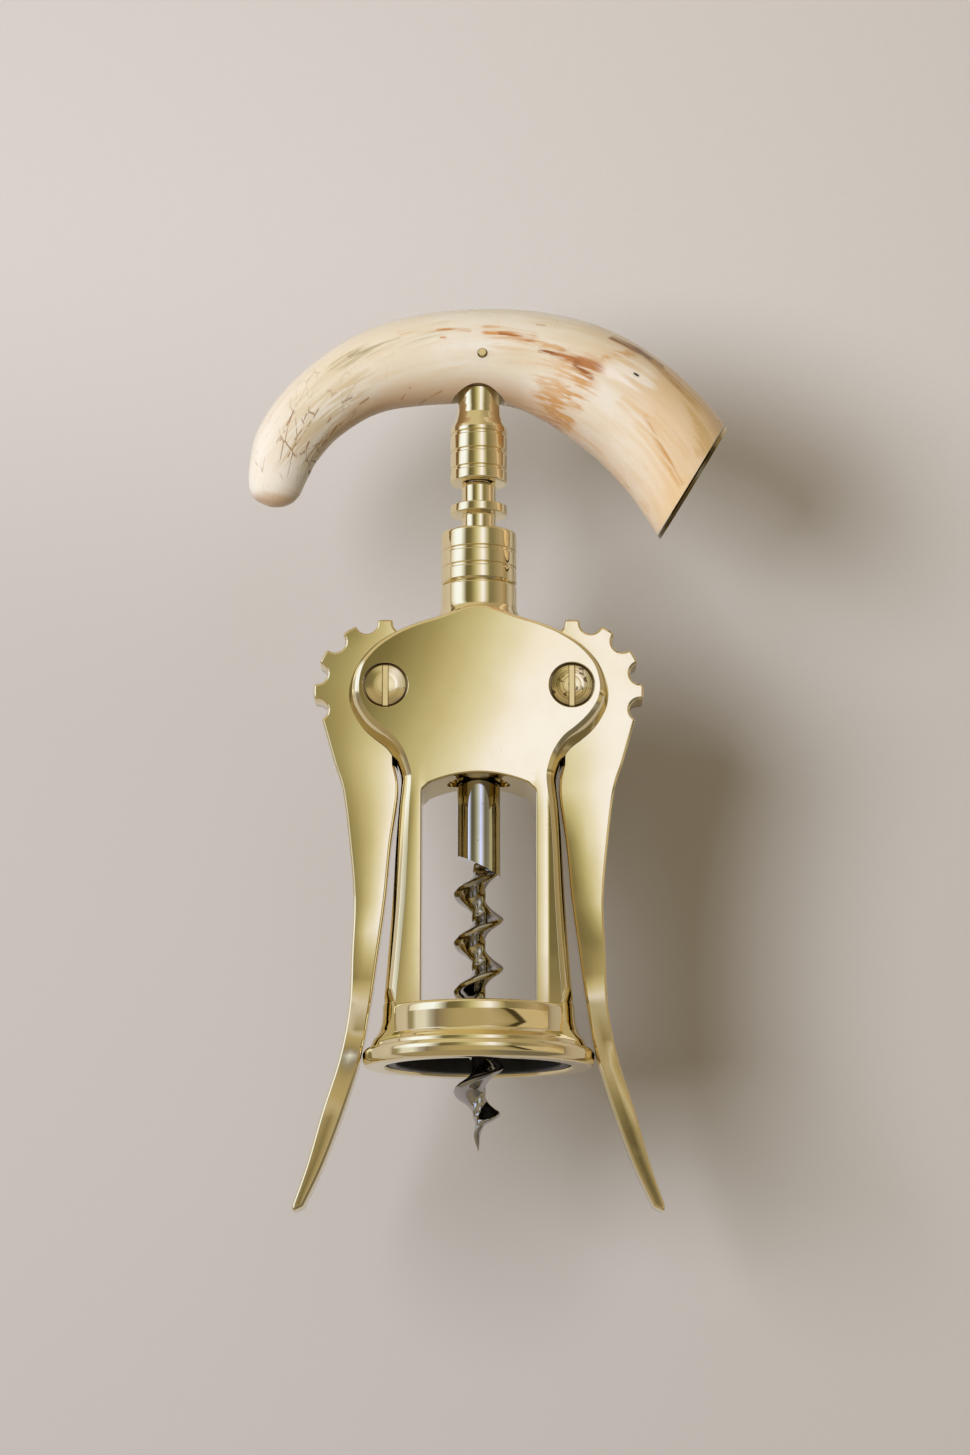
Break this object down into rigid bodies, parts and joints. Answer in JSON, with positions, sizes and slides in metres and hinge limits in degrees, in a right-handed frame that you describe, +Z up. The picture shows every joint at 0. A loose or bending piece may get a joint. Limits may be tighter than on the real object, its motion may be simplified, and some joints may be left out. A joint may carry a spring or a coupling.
{
  "type": "wing corkscrew",
  "caption": "Wing corkscrew: brass frame with a bell foot and a window, geared side levers, a ringed rack, a bladed steel worm and a tusk-shaped handle.",
  "frame": {"origin": "centre of the bell's foot plane, where the tool sits on the bottle", "axes": "+Z up along the worm, X from lever to lever, the front faces -Y"},
  "size_m": [0.0968, 0.0452, 0.1817],
  "materials": {
    "brass_frame": "polished cast brass",
    "brass_levers": "polished brass plate",
    "brass_turned": "turned and polished brass",
    "brass_screws": "turned brass, worn slots",
    "brass_cap": "tarnished brass sheet",
    "worm_chrome": "chromed steel",
    "sleeve_steel": "turned steel",
    "dark_steel": "blackened steel",
    "black_liner": "black moulded plastic",
    "tusk_ivory": "polished ivory-like tusk with stains and fine cracks",
    "plug_resin": "brown filler"
  },
  "bodies": {
    "frame_body": {"frame": "brass_frame", "neck_collar": "brass_turned", "collar_screw_left": "dark_steel", "collar_screw_right": "dark_steel", "bell_liner": "black_liner", "pivot_screw_left": "brass_screws", "pivot_screw_right": "brass_screws", "pivot_sleeve_left": "sleeve_steel", "pivot_sleeve_right": "sleeve_steel"},
    "rack_body": {"rack_spindle": "brass_turned"},
    "handle_body": {"worm": "worm_chrome", "handle_ferrule": "brass_turned", "tusk_grip": "tusk_ivory", "tusk_pin": "brass_screws", "tusk_end_cap": "brass_cap", "root_plug": "plug_resin"},
    "left_lever_body": {"lever_left": "brass_levers"},
    "right_lever_body": {"lever_right": "brass_levers"}
  },
  "joints": [
    {"name": "rack_slide", "type": "slide", "parent": "frame_body", "child": "rack_body", "axis": [0, 0, 1], "range_m": [-0.0204, 0]},
    {"name": "handle_turn", "type": "hinge", "parent": "rack_body", "child": "handle_body", "pos_m": [0, 0, 0.1172], "axis": [0, 0, 1], "continuous": true},
    {"name": "left_lever_hinge", "type": "hinge", "parent": "frame_body", "child": "left_lever_body", "pos_m": [-0.01829, 0, 0.0742], "axis": [0, 1, 0], "range_deg": [0, 90]},
    {"name": "right_lever_hinge", "type": "hinge", "parent": "frame_body", "child": "right_lever_body", "pos_m": [0.01829, 0, 0.0742], "axis": [0, -1, 0], "range_deg": [0, 90]}
  ],
  "couplings": [
    {"joint": "left_lever_hinge", "follows": "rack_slide", "rad_per_m": -76.999},
    {"joint": "right_lever_hinge", "follows": "rack_slide", "rad_per_m": -76.999}
  ]
}
